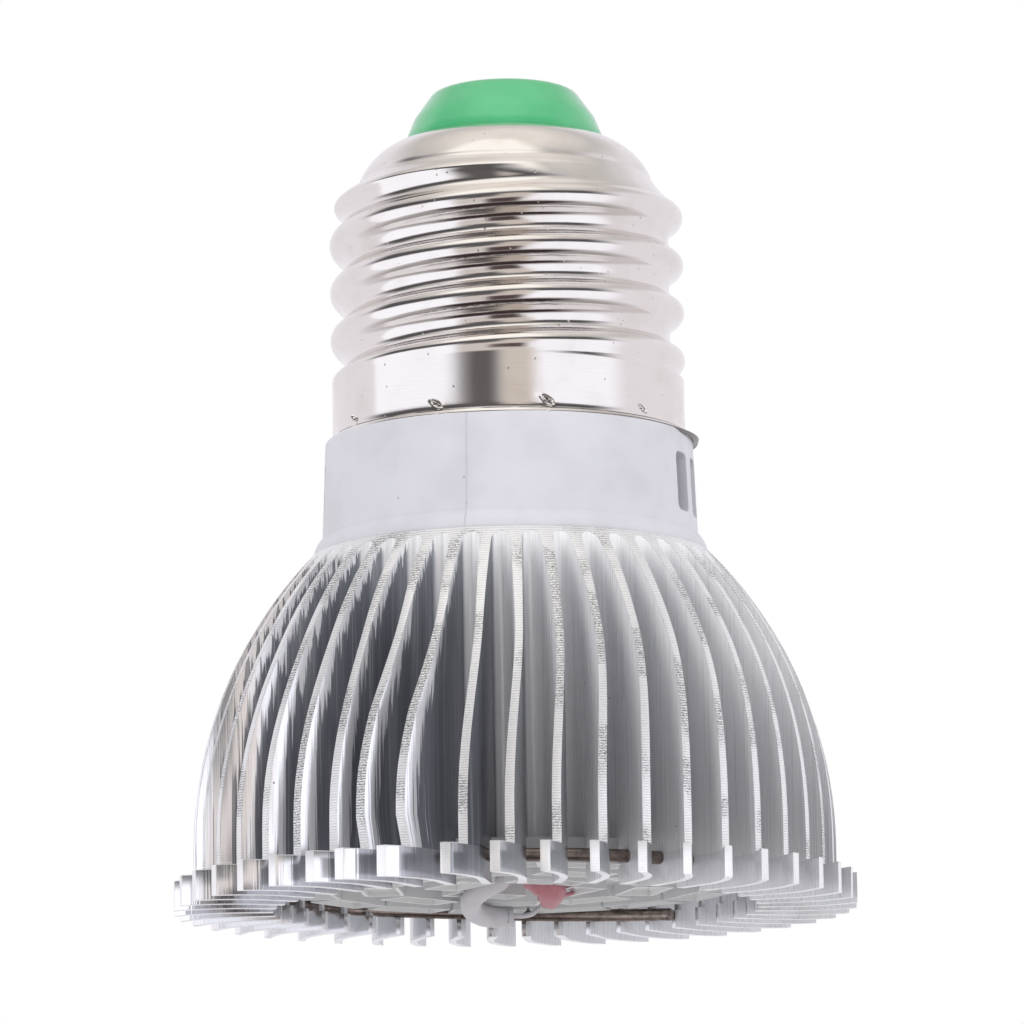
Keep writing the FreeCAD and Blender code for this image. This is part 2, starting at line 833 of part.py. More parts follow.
def driver():
    height = driver_top_level - sleeve_floor_level
    keep(box("driver_panel", 2 * driver_half_width, D.driver_thickness, height,
             -driver_half_width, driver_back, sleeve_floor_level), "driver_board")


def on_front(name, width, depth, height, x, rise):
    """Box on the driver board's front face, its middle at x and its foot rise above the board's foot."""
    return box(name, width, depth, height, x - width / 2, driver_front, sleeve_floor_level + rise)


def on_back(name, width, depth, height, rise):
    return box(name, width, depth, height, -width / 2, driver_back - depth, sleeve_floor_level + rise)


def can_on_front(name, radius, length, x, rise):
    return cylinder(name, radius, length, x, driver_front, sleeve_floor_level + rise, Vector(1, 0, 0), -90)


def fuse_resistor():
    axis_y = driver_back - D.resistor_gap - D.resistor_radius
    level = sleeve_floor_level + D.resistor_rise
    reach = D.resistor_length / 2 + D.resistor_leg_reach
    legs = tube(rounded_path([
        (-reach, driver_back, level),
        (-reach, axis_y, level),
        (reach, axis_y, level),
        (reach, driver_back, level),
    ], [D.resistor_leg_bend, D.resistor_leg_bend]), D.resistor_leg_radius)
    foot = Vector(-float(D.resistor_length) / 2, float(axis_y), float(level))
    barrel = Part.makeCylinder(float(D.resistor_radius), float(D.resistor_length), foot, Vector(1, 0, 0))
    keep(shaped("fuse_resistor_whole", legs.fuse(barrel)), "fuse_resistor")


def driver_components():
    transformer_rise = D.output_can_rise + D.output_can_radius + D.transformer_gap
    transformer_top = transformer_rise + D.transformer_height
    coil_rise = transformer_rise + (D.transformer_height - D.coil_height) / 2
    input_can_rise = transformer_top + D.input_can_gap + D.input_can_radius
    drum_rise = transformer_top + D.drum_gap + D.drum_radius
    film_rise = transformer_rise - D.film_gap - D.film_height
    core_block = on_front("transformer_block", D.transformer_width, D.transformer_depth,
                          D.transformer_height, 0, transformer_rise)
    core_window = on_front("transformer_window", D.coil_width, D.transformer_depth,
                           D.coil_height, 0, coil_rise)
    keep(boolean("Part::Cut", "transformer_frame", core_block, core_window), "transformer_core")
    keep(on_front("transformer_coil", D.coil_width, D.coil_depth, D.coil_height, 0, coil_rise),
         "transformer_winding")
    keep(can_on_front("output_can", D.output_can_radius, D.output_can_length,
                      D.output_can_x, D.output_can_rise), "output_capacitor")
    keep(can_on_front("input_can", D.input_can_radius, D.input_can_length,
                      D.input_can_x, input_can_rise), "input_capacitor")
    keep(can_on_front("drum", D.drum_radius, D.drum_length, D.drum_x, drum_rise), "inductor")
    keep(on_front("film_block", D.film_width, D.film_depth, D.film_height, D.film_x, film_rise),
         "film_capacitor")
    keep(on_back("rectifier_block", D.rectifier_width, D.rectifier_depth, D.rectifier_height,
                 D.rectifier_rise), "bridge_rectifier")
    keep(on_back("chip_block", D.chip_width, D.chip_depth, D.chip_height, D.chip_rise), "driver_chip")
    fuse_resistor()


def lead(name, side, route, bends, pad):
    """Lead with bare ends, off the driver board, down the hole, along and up to its pad."""
    x = side * D.lead_spacing / 2
    y = driver_front + D.lead_radius + D.fit
    strip_level = sleeve_floor_level + D.lead_strip_rise
    bare_level = strip_level + D.strand_length
    run_level = led_face_level - D.lead_radius - D.fit
    points = [
        (x, driver_front, bare_level),
        (x, y, bare_level),
        (x, y, strip_level),
        (x, y, run_level),
        *[(*spot, run_level) for spot in route],
        (*pad, run_level + 2 * D.fit),
        (*pad, board_level),
    ]
    radii = [D.strand_bend, 0, D.lead_bend, *bends, D.strand_bend]
    strands = tube(rounded_path(points, radii), D.strand_radius)
    insulation = tube(rounded_path(points[2:-2], radii[2:-2]), D.lead_radius)
    whole = shaped(f"{name}_whole", strands.fuse(insulation))
    return keep(whole, name)


def solder(name, pad, whole_lead):
    dome = doc.addObject("Part::Sphere", f"{name}_dome")
    dome.Angle1 = -90
    bind(dome, Radius=D.solder_radius, Angle2=D.solder_latitude)
    place(dome, *pad, board_level - D.solder_radius * sine(D.solder_latitude))
    keep(boolean("Part::Cut", f"{name}_joint", dome, whole_lead), name)


def leads():
    # the pads lie in the lanes between the rings of packages, against the ring outside them
    pad_inset = D.led_width / 2 + D.solder_radius * cosine(D.solder_latitude) + D.fit
    outer_lane, inner_lane = [radius - pad_inset for radius in ring_radii()[:2]]
    white_pad = polar(outer_lane, D.white_pad_angle)
    red_pad = polar(inner_lane, D.red_pad_angle)
    stretch = outer_lane / D.white_route_reach
    white_spots = [(-3.4, 0.9), (-4.5, 4.6), (-3.7, 8.6), (-1.2, 11.2), (0.5, 11.7)]
    white_route = [(x, y * stretch) for x, y in white_spots]
    red_route = [(2.6, -1.5), (3.9, 0.2)]
    white = lead("lead_white", -1, white_route, [2.0, 3.0, 3.0, 2.4, 0.6], white_pad)
    red = lead("lead_red", 1, red_route, [1.2, 0.6], red_pad)
    solder("solder_white", white_pad, white)
    solder("solder_red", red_pad, red)


def cap_wires():
    """Wires from the driver board over the neck to the cap's shell, and up to the contact's rivet."""
    y = driver_front + D.wire_radius + D.fit
    foot = driver_top_level - D.wire_foot_drop
    shell_x = D.wire_wall_gap - neck_bore
    over_neck = neck_top_level + D.wire_radius + D.fit
    beside_wire = [float(over_neck + D.wire_radius * share) for share in (-1, -0.5, 0, 0.5, 1)]
    wall_x = float(D.cap_wall + 2 * D.fit) - min(shell_radius(270, level) for level in beside_wire)
    shell_path = rounded_path([
        (shell_x, y, foot),
        (shell_x, y, over_neck),
        (wall_x, y, over_neck),
    ], [D.wire_bend])
    keep(shaped("wire_shell_whole", tube(shell_path, D.wire_radius)), "wire_shell")
    slant_foot = foot + D.contact_wire_rise
    contact_path = rounded_path([
        (D.contact_wire_x, y, foot),
        (D.contact_wire_x, y, slant_foot),
        (0, 0, slant_foot + D.contact_wire_slant),
        (0, 0, rivet_tail_level),
    ], [D.contact_wire_bend, D.contact_wire_bend])
    keep(shaped("wire_contact_whole", tube(contact_path, D.wire_radius)), "wire_contact")


heat_sink()
light_board()
light_packages()
snap_ring()
leads()
collar_housing()
cap_shell()
cap_insulator()
centre_contact()
driver()
driver_components()
cap_wires()
doc.recompute()

failed = [item.Label for item in doc.Objects if {"Invalid", "Error"} & set(item.State)]
if failed:
    raise SystemExit(f"failed objects: {failed}")
for piece in pieces:
    if piece.Shape.isNull() or not piece.Shape.isValid():
        raise SystemExit(f"{piece.Label} has no valid shape")

os.makedirs("parts", exist_ok=True)
for piece in pieces:
    piece.Shape.exportStep(f"parts/{piece.Label}.step")
print(f"{len(pieces)} pieces written")
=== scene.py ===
import math

import bmesh
import bpy
from mathutils import Matrix, Vector


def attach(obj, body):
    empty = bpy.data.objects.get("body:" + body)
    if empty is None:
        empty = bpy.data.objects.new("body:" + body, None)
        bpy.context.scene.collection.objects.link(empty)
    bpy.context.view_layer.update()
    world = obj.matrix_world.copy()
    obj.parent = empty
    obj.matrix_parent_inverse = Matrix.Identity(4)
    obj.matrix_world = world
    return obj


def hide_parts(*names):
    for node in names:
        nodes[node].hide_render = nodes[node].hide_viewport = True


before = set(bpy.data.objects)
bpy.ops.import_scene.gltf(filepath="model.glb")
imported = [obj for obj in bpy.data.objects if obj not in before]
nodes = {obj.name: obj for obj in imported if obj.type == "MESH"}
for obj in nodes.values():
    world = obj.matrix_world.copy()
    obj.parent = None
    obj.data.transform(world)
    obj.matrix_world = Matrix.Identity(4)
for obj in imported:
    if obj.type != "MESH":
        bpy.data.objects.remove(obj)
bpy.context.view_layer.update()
mm = 0.001
print("frame loaded with", len(nodes), "nodes")


# shader maths as plain expressions

class Wire:
    def __init__(self, look, socket):
        self.look = look
        self.socket = socket

    def math(self, operation, *others):
        return self.look.node("ShaderNodeMath", {"operation": operation},
                              dict(enumerate((self, *others))))

    def __add__(self, other): return self.math("ADD", other)
    def __radd__(self, other): return self.math("ADD", other)
    def __sub__(self, other): return self.math("SUBTRACT", other)
    def __rsub__(self, other): return (self * -1) + other
    def __mul__(self, other): return self.math("MULTIPLY", other)
    def __rmul__(self, other): return self.math("MULTIPLY", other)
    def __truediv__(self, other): return self.math("DIVIDE", other)
    def __pow__(self, other): return self.math("POWER", other)
    def __gt__(self, other): return self.math("GREATER_THAN", other)
    def __lt__(self, other): return self.math("LESS_THAN", other)

    def step(self, low, high):       # smooth 0 to 1 between two values
        return self.look.node("ShaderNodeMapRange", {"interpolation_type": "SMOOTHSTEP"},
                              {"Value": self, "From Min": low, "From Max": high})

    def clamp(self):
        return self.look.node("ShaderNodeClamp", {}, {"Value": self})


class Look:
    def __init__(self, name, tree=None):
        if tree is None:
            self.material = bpy.data.materials.new(name)
            self.material.use_nodes = True
            tree = self.material.node_tree
        self.tree = tree
        self.tree.nodes.clear()

    def node(self, kind, settings, sockets, output=0):
        made = self.tree.nodes.new(kind)
        for key, value in settings.items():
            if key == "stops":
                while len(made.color_ramp.elements) < len(value):
                    made.color_ramp.elements.new(0.5)
                for element, (place, shade) in zip(made.color_ramp.elements, value):
                    element.position = place
                    element.color = (*shade, 1) if len(shade) == 3 else shade
            else:
                setattr(made, key, value)
        for key, value in sockets.items():
            target = made.inputs[key]
            if isinstance(value, Wire):
                self.tree.links.new(value.socket, target)
            elif target.type == "RGBA" and len(value) == 3:
                target.default_value = (*value, 1)
            else:
                target.default_value = value
        return Wire(self, made.outputs[output]) if made.outputs else made

    def place(self):                 # object coordinates in millimetres
        return self.scaled(self.node("ShaderNodeTexCoord", {}, {}, "Object"), 1 / mm)

    def rest(self):                  # where the surface was before it was bent, in millimetres
        spot = self.node("ShaderNodeAttribute", {"attribute_name": "rest"}, {}, "Vector")
        return self.scaled(spot, 1 / mm)

    def scaled(self, vector, scale):
        return self.node("ShaderNodeVectorMath", {"operation": "SCALE"}, {"Vector": vector, "Scale": scale})

    def split(self, vector):
        return [self.node("ShaderNodeSeparateXYZ", {}, {0: vector}, axis) for axis in "XYZ"]

    def stretch(self, vector, scale):
        return self.node("ShaderNodeVectorMath", {"operation": "MULTIPLY"}, {0: vector, 1: scale})

    def noise(self, vector, scale, detail=2.0, roughness=0.5):
        return self.node("ShaderNodeTexNoise", {}, {"Vector": vector, "Scale": scale, "Detail": detail,
                                                    "Roughness": roughness})

    def cells(self, vector, scale):
        return self.node("ShaderNodeTexVoronoi", {}, {"Vector": vector, "Scale": scale}, "Distance")

    def mix(self, share, first, second):
        return self.node("ShaderNodeMix", {"data_type": "RGBA"}, {0: share, 6: first, 7: second}, 2)

    def ramp(self, share, stops):
        return self.node("ShaderNodeValToRGB", {"stops": stops}, {0: share})

    def bump(self, height, distance):
        return self.node("ShaderNodeBump", {}, {"Height": height, "Distance": distance, "Strength": 1.0})

    def finish(self, sockets):
        shader = self.node("ShaderNodeBsdfPrincipled", {}, sockets)
        self.node("ShaderNodeOutputMaterial", {}, {"Surface": shader})
        return self.material


def polarParts(look, spot):          # level and radius in mm, azimuth from the near side in degrees
    x, y, level = look.split(spot)
    radius = (x * x + y * y) ** 0.5
    azimuth = x.math("ARCTAN2", y * -1) * (180 / math.pi)
    return level, radius, azimuth


def within(value, edges):            # rises over the first two edges, falls over the last two
    return value.step(*edges[:2]) * (1 - value.step(*edges[2:]))


# finishes, with painted light and shade on the heat sink's fins and the cap's skirt

sinkFinish = {
    "strip": (0.97, 0.97, 0.99),     # painted highlight on the flank next to the turned edge
    "paintedShadeDeep": (0.205, 0.215, 0.245),  # painted shade on the deep part of the flanks that face to the right
    # lighter painted shade, on the fins in the pale range
    "paintedShadeNear": (0.36, 0.37, 0.39),
    "litFlank": (0.98, 0.98, 1.0),      # painted light: flanks that face to the left, lighter than those facing right; also the pale streaks on those
    # darker fine lines on the left-facing flanks, and their painted shade on the rim
    "litFlankDim": (0.78, 0.79, 0.83),
    "turned": (0.97, 0.97, 0.98),
    "turnedDark": (0.16, 0.16, 0.17),
    "pinhole": (0.25, 0.25, 0.25),
    "domeRadius": 31.15,
    "domeEnds": ((23.6, 4.5), (14.8, 26.2)),     # radius and level of the dome's lower and upper end
    "stepLevel": 2.15,
    "rimRadius": 25.1,
    "coreRadius": 15.15,
    "finPitch": 8,
    "finAzimuth": 1.5,
    "bendStart": 20.2,
    "bend": 0.085,
    "skin": 0.035,                   # depth of the turned finish at the fins' edges
    "frontSkin": 0.02,
    "backSkin": 0.03,
    "groovePitch": 0.19,
    "grooveWander": 5.0,
    "speckleSteps": (0.50, 0.60),
    "stripDepth": 0.85,
    "stripEdge": 0.12,
    "stripLevels": (8, 22),          # the strip gets narrower between these levels
    "stripLoss": 0.6,
    "ragged": (3.0, 1.4),            # how far the streaks and the fine lines shift the strip's edge
    "bare": (-11, -9, 60, 80),       # fins whose flanks have painted shade right up to the turned edge
    "bareShift": 2.0,
    "pale": (-3, -1, 60, 80),        # and those whose painted shade is lighter
    "shadeFrom": (0.15, 0.5),        # painted shade starts above the core
    "coreEnd": (0.3, 0.9),
    "farFrom": (0, 5),
    # the left-facing flanks are painted lighter deeper in the channels
    "litDepth": (2, 6),
    "turnedMetal": 0.62,
    "rightFlankMetal": 0.92,
    "leftFlankMetal": 0.12,
    "rightFlankRough": 0.16,
    "leftFlankRough": 0.22,
    "flankBump": 0.022,
    "edgeBump": 0.02,
}


def arcCentre(start, end, radius):   # centre of the dome's arc from its two ends
    middle = (start + end) / 2
    half = (end - start) / 2
    inward = Vector((-half.y, half.x)).normalized()
    return middle + inward * math.sqrt(radius ** 2 - half.length_squared)


def sinkFields(look, spot):          # where a point of the surface lies on the heat sink
    s = sinkFinish
    level, radius, azimuth = polarParts(look, spot)
    low, high = s["domeEnds"]
    centre = arcCentre(Vector(low), Vector(high), s["domeRadius"])
    fromCentre = ((radius - centre.x) ** 2 + (level - centre.y) ** 2) ** 0.5
    onDome = level > low[1]
    onRim = level < s["stepLevel"]
    straight = (1 - onDome) * (1 - onRim)
    inset = onDome * (s["domeRadius"] - fromCentre) + straight * (low[0] - radius)
    inset = inset + onRim * (s["rimRadius"] - radius)    # depth below the turned surface
    endFace = (level < s["frontSkin"]) + (level > high[1] - s["backSkin"])
    beyond = (radius - s["bendStart"]).math("MAXIMUM", 0)
    swept = beyond * beyond * s["bend"] / radius * (180 / math.pi)
    fromNear = azimuth + swept - s["finAzimuth"]         # at the fin's root, from the nearest fin
    return {
        "level": level, "radius": radius, "inset": inset, "onRim": onRim, "fromNear": fromNear,
        "turned": ((inset < s["skin"]) + endFace).clamp(),
        "rightSide": (fromNear / s["finPitch"] + 0.5).math("FRACT") > 0.5,
        "farSide": look.split(spot)[1].step(*s["farFrom"]),
        "core": 1 - radius.step(*(s["coreRadius"] + end for end in s["coreEnd"])),
    }


def rightFlankLightAndShade(look, at, streaks, lines, broad):    # flanks that face to the right: painted shade deep in the channels, painted highlight by the turned edge
    s = sinkFinish
    shift = (streaks - 0.5) * s["ragged"][0] + (lines - 0.5) * s["ragged"][1]
    ragged = at["inset"] + shift + within(at["fromNear"], s["bare"]) * s["bareShift"]
    strip = s["stripDepth"] * (1 - at["level"].step(*s["stripLevels"]) * s["stripLoss"])
    # painted highlight in a strip by the turned edge, painted shade deeper in
    deep = ragged.step(strip, strip + s["stripEdge"])
    deep = deep * at["radius"].step(*(s["coreRadius"] + end for end in s["shadeFrom"]))
    # less painted shade on the rim, and less again on the far side
    deep = deep * (1 - at["onRim"] * (0.2 + at["farSide"] * 0.45))
    shade = lines.step(0.40, 0.60) * 0.06 + streaks.step(0.52, 0.75) * 0.30 + broad.step(0.55, 0.75) * 0.15
    tone = look.mix(within(at["fromNear"], s["pale"]), s["paintedShadeDeep"], s["paintedShadeNear"])
    return look.mix(deep, s["strip"], look.mix(shade.clamp(), tone, s["litFlank"]))


def leftFlankLightAndShade(look, at, streaks, lines, broad):    # flanks that face to the left: painted lighter than the right-facing ones, lighter deeper in, painted shade on the rim
    s = sinkFinish
    shade = lines.step(0.34, 0.47) * 0.55 + streaks.step(0.28, 0.58) * 0.40 + broad.step(0.3, 0.7) * 0.25
    # painted light deeper in the channels, painted shade on the rim's flanks
    shade = (shade + at["inset"].step(*s["litDepth"]) * 0.6).clamp() * (1 - at["onRim"] * 0.8)
    return look.mix(shade, s["litFlankDim"], s["litFlank"])


def sinkLook(name, bent):
    s = sinkFinish
    look = Look(name)
    spot = look.rest() if bent else look.place()
    at = sinkFields(look, spot)
    turned, flank = at["turned"], 1 - at["turned"]
    rightSide, leftSide = at["rightSide"], 1 - at["rightSide"]

    drawn = look.stretch(spot, (1, 1, 0.012))
    streaks = look.noise(drawn, 3.4, 3.0, 0.62)
    lines = look.noise(drawn, 9.0, 2.0, 0.6)
    broad = look.noise(look.stretch(spot, (1, 1, 0.05)), 0.55, 2.0)
    # the fins' two sides get different painted light and shade
    right = rightFlankLightAndShade(look, at, streaks, lines, broad)
    left = leftFlankLightAndShade(look, at, streaks, lines, broad)

    wander = look.noise(spot, 1.3) * s["grooveWander"]
    groove = (at["level"] * (2 * math.pi / s["groovePitch"]) + wander).math("SINE")
    pits = look.noise(look.stretch(spot, (1, 1, 2.6)), 6.5, 3.0, 0.7)
    band = look.noise(spot, 0.22, 1.0).step(0.48, 0.60)
    speckle = pits.step(*s["speckleSteps"]) * (0.12 + band * 0.88)
    smoothRim = at["level"] < s["stepLevel"] + 0.01
    turnedShade = (speckle * 0.85 + groove.step(-0.2, 0.9) * (0.26 + band * 0.3)).clamp()
    edge = look.mix(turnedShade * (1 - smoothRim * 0.85), s["turned"], s["turnedDark"])

    pinholes = look.cells(spot, 0.33).step(0.030, 0.018)
    colour = look.mix(turned, look.mix(rightSide, left, right), edge)
    colour = look.mix(pinholes, colour, s["pinhole"])
    flankRough = rightSide * s["rightFlankRough"] + leftSide * s["leftFlankRough"] + streaks * 0.12
    rough = turned * (0.34 + speckle * 0.2) + flank * flankRough
    flankMetal = (rightSide * s["rightFlankMetal"] + leftSide * s["leftFlankMetal"]) * (1 - at["core"] * 0.7)
    metallic = turned * s["turnedMetal"] + flank * flankMetal
    flankHeight = (streaks * 0.9 + lines * 0.35) * flank
    edgeHeight = (groove * 0.22 - pits * 0.9) * turned * (1 - smoothRim * 0.8)
    normal = look.bump(flankHeight * s["flankBump"] + edgeHeight * s["edgeBump"], mm)
    return look.finish({"Base Color": colour, "Metallic": metallic, "Roughness": rough, "Normal": normal})


nickelFinish = {
    "plate": (0.79, 0.76, 0.735),
    "stain": (0.60, 0.55, 0.50),
    # painted shade, for the stakes, the crease and under the lifted lip
    "shadeMark": (0.07, 0.06, 0.055),
    "roughness": 0.055,
    "creaseLevel": 35.16,
    "creaseWidth": (0.02, 0.055),
    "stakeLevel": 35.75,
    "stakeAzimuth": 12.5,
    "stakeCount": 10,
    "skirtRadius": 13.1,
    "nickSize": (0.24, 0.10),        # half length round the skirt and half height
    "nickShift": 0.10,
    "nickSlant": 0.25,
    "lipShade": (34.92, 35.04),
    "liftedLip": (8, 45, 110, 130),
}


def nickelLook():
    s = nickelFinish
    look = Look("nickelPlate")
    spot = look.place()
    level, _, azimuth = polarParts(look, spot)
    drawn = look.noise(look.stretch(spot, (0.35, 0.35, 6.0)), 1.4, 3.0, 0.6)
    cloud = look.noise(spot, 0.28, 3.0)
    specks = look.cells(spot, 0.9).step(0.10, 0.045)
    fine = look.noise(spot, 5.0, 3.0, 0.7)
    shade = (cloud.step(0.45, 0.75) * 0.30 + drawn.step(0.5, 0.8) * 0.18 + specks * 0.8).clamp()
    colour = look.mix(shade, s["plate"], s["stain"])

    # painted shade in the stakes' dents, in the crease above the edge and under the lifted lip
    turn = (azimuth - s["stakeAzimuth"]) * (s["stakeCount"] / 360) + 0.5
    along = (turn.math("FRACT") - 0.5) * (2 * math.pi * s["skirtRadius"] / s["stakeCount"])
    rise = level - s["stakeLevel"] - along * s["nickSlant"]
    nick = ((along + s["nickShift"]) / s["nickSize"][0]) ** 2 + (rise / s["nickSize"][1]) ** 2
    crease = 1 - (level - s["creaseLevel"]).math("ABSOLUTE").step(*s["creaseWidth"])
    crease = crease * look.noise(spot, 0.35, 1.0).step(0.38, 0.5)
    lip = (1 - level.step(*s["lipShade"])) * within(azimuth, s["liftedLip"])
    shadeMarks = (1 - nick.step(0.6, 1.0) + crease + lip).clamp()
    colour = look.mix(shadeMarks * 0.8, colour, s["shadeMark"])
    rough = s["roughness"] + cloud * 0.07 + fine * 0.03 + specks * 0.3 + shadeMarks * 0.2
    normal = look.bump(drawn * 0.5 + fine * 0.35 - specks * 2.0, 0.004 * mm)
    return look.finish({"Base Color": colour, "Metallic": 1.0, "Roughness": rough, "Normal": normal})


def plasticLook(name, colour, dark, roughness, speckSize=0.5, specks=0.0, grain=6.0, depth=0.006, **extra):
    look = Look(name)
    spot = look.place()
    cloud = look.noise(spot, 0.35, 2.0)
    fine = look.noise(spot, grain, 3.0, 0.6)
    dots = look.cells(spot, speckSize).step(0.065, 0.03) * specks
    shade = (cloud.step(0.35, 0.8) * 0.35 + fine.step(0.4, 0.9) * 0.2 + dots).clamp()
    base = look.mix(shade, colour, dark)
    rough = roughness + (fine - 0.5) * 0.12 + dots * 0.1
    normal = look.bump(fine, depth * mm)
    return look.finish({"Base Color": base, "Roughness": rough, "Normal": normal, **extra})


def metalLook(name, colour, dark, roughness, scale=3.0, depth=0.01):
    look = Look(name)
    spot = look.place()
    cloud = look.noise(spot, scale, 4.0, 0.6)
    fine = look.noise(spot, scale * 6, 2.0)
    base = look.mix(cloud.step(0.3, 0.75), colour, dark)
    normal = look.bump(cloud * 0.7 + fine * 0.3, depth * mm)
    return look.finish({"Base Color": base, "Metallic": 1.0, "Roughness": roughness + cloud * 0.2,
                        "Normal": normal})


collarFinish = {
    "white": (0.745, 0.74, 0.80),
    "dirt": (0.42, 0.41, 0.44),
    "seamAzimuth": -12.9,
    "seamWidth": (0.05, 0.35),
    "outside": (13.2, 13.5),         # the seam is only on the outside
    "subsurface": 0.15,
    "subsurfaceDepth": 0.6,
}


def collarLook():
    s = collarFinish
    look = Look("collarPlastic")
    spot = look.place()
    _, radius, azimuth = polarParts(look, spot)
    cloud = look.noise(spot, 0.22, 2.0)
    fine = look.noise(spot, 5.0, 3.0, 0.6)
    dots = look.cells(spot, 0.42).step(0.055, 0.02)
    shade = (cloud.step(0.35, 0.8) * 0.25 + dots * 0.75).clamp()
    seam = 1 - (azimuth - s["seamAzimuth"]).math("ABSOLUTE").step(*s["seamWidth"])
    height = fine * 0.12 + seam * radius.step(*s["outside"])
    return look.finish({"Base Color": look.mix(shade, s["white"], s["dirt"]),
                        "Roughness": 0.42 + (fine - 0.5) * 0.1, "Normal": look.bump(height, 0.05 * mm),
                        "Subsurface Weight": s["subsurface"], "Subsurface Radius": (1.0, 1.0, 1.0),
                        "Subsurface Scale": s["subsurfaceDepth"] * mm})


looks = {
    "sink": sinkLook("turnedAluminium", False),
    "bentSink": sinkLook("turnedAluminiumBent", True),
    "nickel": nickelLook(),
    "collar": collarLook(),
    "green": plasticLook("greenInsulator", (0.105, 0.565, 0.25), (0.07, 0.45, 0.18), 0.2, 0.35, 0.15,
                         **{"Coat Weight": 0.4, "Subsurface Weight": 0.25, "Subsurface Scale": 0.8 * mm,
                            "Subsurface Radius": (0.3, 1.0, 0.4)}),
    "whiteLead": plasticLook("whiteInsulation", (0.62, 0.60, 0.63), (0.50, 0.48, 0.52),
                             0.5, 0.6, 0.2, 2.5, 0.05),
    "redLead": plasticLook("redInsulation", (0.53, 0.215, 0.25), (0.36, 0.11, 0.14),
                           0.5, 0.6, 0.2, 2.5, 0.08),
    "solder": metalLook("solder", (0.52, 0.56, 0.60), (0.30, 0.33, 0.37), 0.25, 1.8, 0.08),
    "spring": metalLook("springSteel", (0.30, 0.25, 0.22), (0.15, 0.12, 0.11), 0.2, 2.0, 0.02),
    "contact": metalLook("tinnedContact", (0.62, 0.58, 0.52), (0.42, 0.38, 0.33), 0.25, 1.4, 0.02),
    "board": plasticLook("whiteMask", (0.60, 0.60, 0.61), (0.50, 0.50, 0.52), 0.35, 0.5, 0.1),
    "panel": plasticLook("driverLaminate", (0.05, 0.20, 0.09), (0.03, 0.13, 0.06), 0.4),
    "ferrite": plasticLook("ferrite", (0.03, 0.03, 0.032), (0.05, 0.05, 0.05), 0.6),
    "tape": plasticLook("coilTape", (0.72, 0.52, 0.05), (0.6, 0.42, 0.04), 0.35),
    "sleeve": plasticLook("canSleeve", (0.02, 0.025, 0.05), (0.03, 0.03, 0.05), 0.3),
    "film": plasticLook("dippedFilm", (0.45, 0.05, 0.02), (0.35, 0.04, 0.02), 0.3),
    "chip": plasticLook("mouldedChip", (0.02, 0.02, 0.02), (0.035, 0.035, 0.035), 0.5),
    "resistor": plasticLook("resistorLacquer", (0.25, 0.36, 0.42), (0.2, 0.3, 0.36), 0.4),
    "wire": plasticLook("wireCover", (0.03, 0.03, 0.032), (0.05, 0.05, 0.05), 0.5),
}

nodeLooks = {
    "heat_sink": "sink", "collar_housing": "collar", "cap_shell": "nickel", "cap_insulator": "green",
    "centre_contact": "contact", "led_board": "board", "snap_ring": "spring", "lead_white": "whiteLead",
    "lead_red": "redLead", "solder_white": "solder", "solder_red": "solder", "driver_board": "panel",
    "transformer_core": "ferrite", "transformer_winding": "tape", "output_capacitor": "sleeve",
    "input_capacitor": "sleeve", "inductor": "sleeve", "film_capacitor": "film", "bridge_rectifier": "chip",
    "driver_chip": "chip", "fuse_resistor": "resistor", "wire_shell": "wire", "wire_contact": "wire",
}


def dress(item, look):
    item.data.materials.clear()
    item.data.materials.append(look)


for name, item in nodes.items():
    dress(item, looks[nodeLooks.get(name, "board")])
print("finishes assigned")


# new pieces

def newPiece(name, bm, look, replaced):
    mesh = bpy.data.meshes.new(name)
    bm.to_mesh(mesh)
    bm.free()
    item = bpy.data.objects.new(name, mesh)
    bpy.context.scene.collection.objects.link(item)
    for finish in look if isinstance(look, list) else [look]:
        mesh.materials.append(finish)
    for face in mesh.polygons:
        face.use_smooth = True
    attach(item, "root")
    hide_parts(*replaced)
    return item


bentFins = {
    "fins": {-3: 0.85, -2: 1.0},     # fin number from the nearest one, and its share of the bend
    "levels": [0.0, 2.15, 4.5, 8.0, 12.0, 16.0, 20.0],
    "turns": [-2.2, -2.2, -3.3, -3.4, -3.2, -1.7, 0.0],        # degrees at these levels
    "root": 16.2,
    "tip": 24.0,
    "curve": 1.5,
    "spread": 0.3,                   # half of a fin's width, as a share of the pitch
}


def finLine(radius):                 # how far a fin's line trails its root, in degrees
    beyond = max(radius - sinkFinish["bendStart"], 0)
    return math.degrees(sinkFinish["bend"] * beyond * beyond / radius)


def bendShare(vert):
    b = bentFins
    radius = math.hypot(vert.co.x, vert.co.y) / mm
    azimuth = math.degrees(math.atan2(vert.co.x, -vert.co.y))
    place = (azimuth + finLine(radius) - sinkFinish["finAzimuth"]) / sinkFinish["finPitch"]
    fin = round(place)
    if radius < b["root"] or fin not in b["fins"] or abs(place - fin) > b["spread"]:
        return 0
    reach = (radius - b["root"]) / (b["tip"] - b["root"])
    return b["fins"][fin] * reach ** b["curve"]


